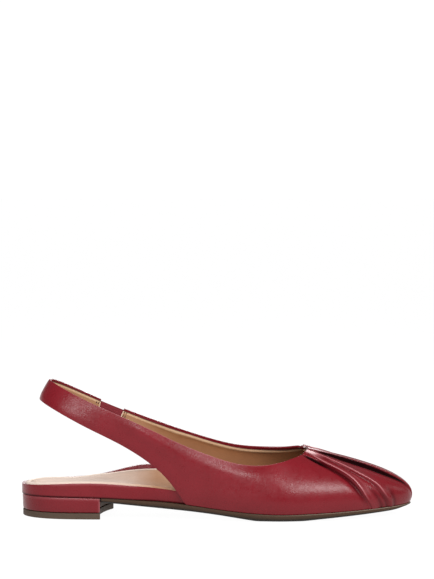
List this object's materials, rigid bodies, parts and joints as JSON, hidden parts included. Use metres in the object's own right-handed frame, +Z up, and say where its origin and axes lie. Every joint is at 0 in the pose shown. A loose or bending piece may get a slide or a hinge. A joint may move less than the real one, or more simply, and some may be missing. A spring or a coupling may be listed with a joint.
{
  "type": "slingback flat shoe",
  "caption": "Women's leather slingback flat for the right foot, with an almond toe, a pleated vamp, an elastic gore in the strap and a low block heel.",
  "frame": {"origin": "middle of the shoe's bounding box, on the plane it stands on", "axes": "+X towards the toe, +Y towards the inner (medial) side, +Z up"},
  "size_m": [0.2571, 0.0804, 0.0893],
  "materials": {
    "red_leather": "smooth oxblood-red calf with a soft sheen",
    "elastic": "matt ribbed elastic",
    "insole_sock": "matt pale suede",
    "lining": "matt tan lining",
    "sole_brown": "matt brown sole",
    "top_piece": "matt brown wear piece"
  },
  "bodies": {
    "root": {"upper": "red_leather", "elastic_gore": "elastic", "insole": "insole_sock", "footbed_rand": "red_leather", "outsole": "sole_brown", "heel_block": "red_leather", "heel_top_piece": "top_piece"}
  },
  "joints": []
}
